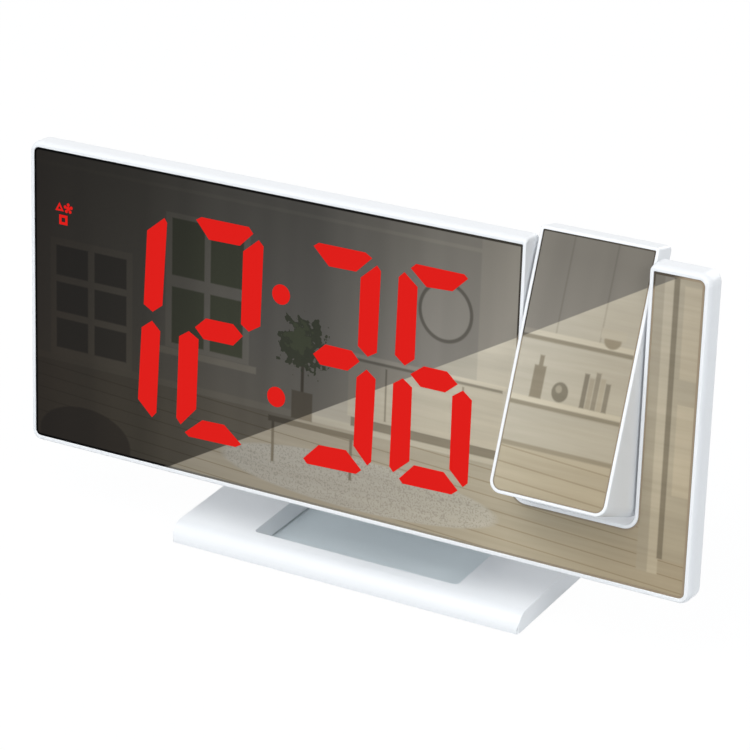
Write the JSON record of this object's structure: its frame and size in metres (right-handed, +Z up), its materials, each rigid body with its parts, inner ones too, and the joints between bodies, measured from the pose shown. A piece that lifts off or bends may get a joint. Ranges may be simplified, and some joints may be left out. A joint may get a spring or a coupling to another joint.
{
  "type": "projection alarm clock",
  "caption": "Mirror-faced digital alarm clock with large red digits, a swinging projector arm in a bay at its right end and a loop stand with a window.",
  "frame": {"origin": "on the table under the middle of the stand's front rubber strip", "axes": "+Z up, the face looks toward -Y, +X to the right as seen from the front"},
  "size_m": [0.188, 0.0685, 0.1001],
  "materials": {
    "shell": "satin",
    "mirror": "half mirror",
    "lamp": "lit",
    "dark": "matte",
    "board": "solder mask",
    "steel": "plated",
    "rubber": "matte",
    "lens": "clear",
    "chip": "matte",
    "lamp_body": "lit",
    "socket": "matte",
    "cone": "paper",
    "brass": "plain",
    "key": "satin",
    "leds": "gloss"
  },
  "bodies": {
    "stand": {"stand": "shell", "rubber_strips": "rubber"},
    "clock": {"front_frame": "shell", "mirror_panel": "mirror", "rear_cover": "shell", "case_screws": "steel", "board_screws": "steel", "display_reflector": "dark", "lit_segments": "lamp", "dark_segments": "dark", "indicator_light": "lamp", "display_leds": "leds", "main_board": "board", "controller_chips": "chip", "key_board": "board", "tact_switches": "chip", "power_board": "board", "usb_port": "steel", "power_inlet": "socket", "speaker_basket": "steel", "speaker_cone": "cone", "coin_cell": "steel", "battery_contacts": "brass", "pivot_pins": "steel", "pivot_washers": "rubber", "hinge_pin": "steel", "hinge_clip": "steel", "hinge_washers": "rubber"},
    "projector_arm": {"arm_frame": "shell", "arm_mirror": "mirror", "arm_housing": "shell", "lamp_board": "board", "projector_lamp": "lamp_body", "optics_tube": "dark", "condenser_lens": "lens", "time_slide": "lens"},
    "barrel": {"lens_barrel": "dark", "projection_lens": "lens"},
    "ring": {"focus_ring": "dark"},
    "door": {"battery_door": "shell"},
    "snooze_key": {"snooze_button": "key"},
    "mode_key": {"mode_button": "key"},
    "set_key": {"set_button": "key"},
    "up_key": {"up_button": "key"},
    "down_key": {"down_button": "key"},
    "light_key": {"light_button": "key"}
  },
  "joints": [
    {"name": "stand_tilt", "type": "hinge", "parent": "stand", "child": "clock", "pos_m": [0, 0.02909, 0.02879], "axis": [-1, 0, 0], "range_deg": [-6, 12]},
    {"name": "arm_swing", "type": "hinge", "parent": "clock", "child": "projector_arm", "pos_m": [0.06315, 0.01451, 0.08141], "axis": [-1, 0, 0], "range_deg": [-109, 71]},
    {"name": "focus_turn", "type": "hinge", "parent": "projector_arm", "child": "ring", "pos_m": [0.06315, 0.02269, 0.08995], "axis": [0, 0.4226, 0.9063], "range_deg": [-135, 135]},
    {"name": "barrel_slide", "type": "slide", "parent": "projector_arm", "child": "barrel", "axis": [0, 0.4226, 0.9063], "range_m": [-0.0015, 0.0015]},
    {"name": "door_pull", "type": "slide", "parent": "clock", "child": "door", "axis": [0, 0.9945, -0.1045], "range_m": [0, 0.02]},
    {"name": "snooze_press", "type": "slide", "parent": "clock", "child": "snooze_key", "axis": [0, -0.9945, 0.1045], "range_m": [0, 0.0006], "stiffness_N_per_m": 1200},
    {"name": "mode_press", "type": "slide", "parent": "clock", "child": "mode_key", "axis": [0, -0.9945, 0.1045], "range_m": [0, 0.0006], "stiffness_N_per_m": 1200},
    {"name": "set_press", "type": "slide", "parent": "clock", "child": "set_key", "axis": [0, -0.9945, 0.1045], "range_m": [0, 0.0006], "stiffness_N_per_m": 1200},
    {"name": "up_press", "type": "slide", "parent": "clock", "child": "up_key", "axis": [0, -0.9945, 0.1045], "range_m": [0, 0.0006], "stiffness_N_per_m": 1200},
    {"name": "down_press", "type": "slide", "parent": "clock", "child": "down_key", "axis": [0, -0.9945, 0.1045], "range_m": [0, 0.0006], "stiffness_N_per_m": 1200},
    {"name": "light_press", "type": "slide", "parent": "clock", "child": "light_key", "axis": [0, -0.9945, 0.1045], "range_m": [0, 0.0006], "stiffness_N_per_m": 1200}
  ],
  "couplings": [
    {"joint": "focus_turn", "follows": "barrel_slide", "rad_per_m": 1572}
  ]
}
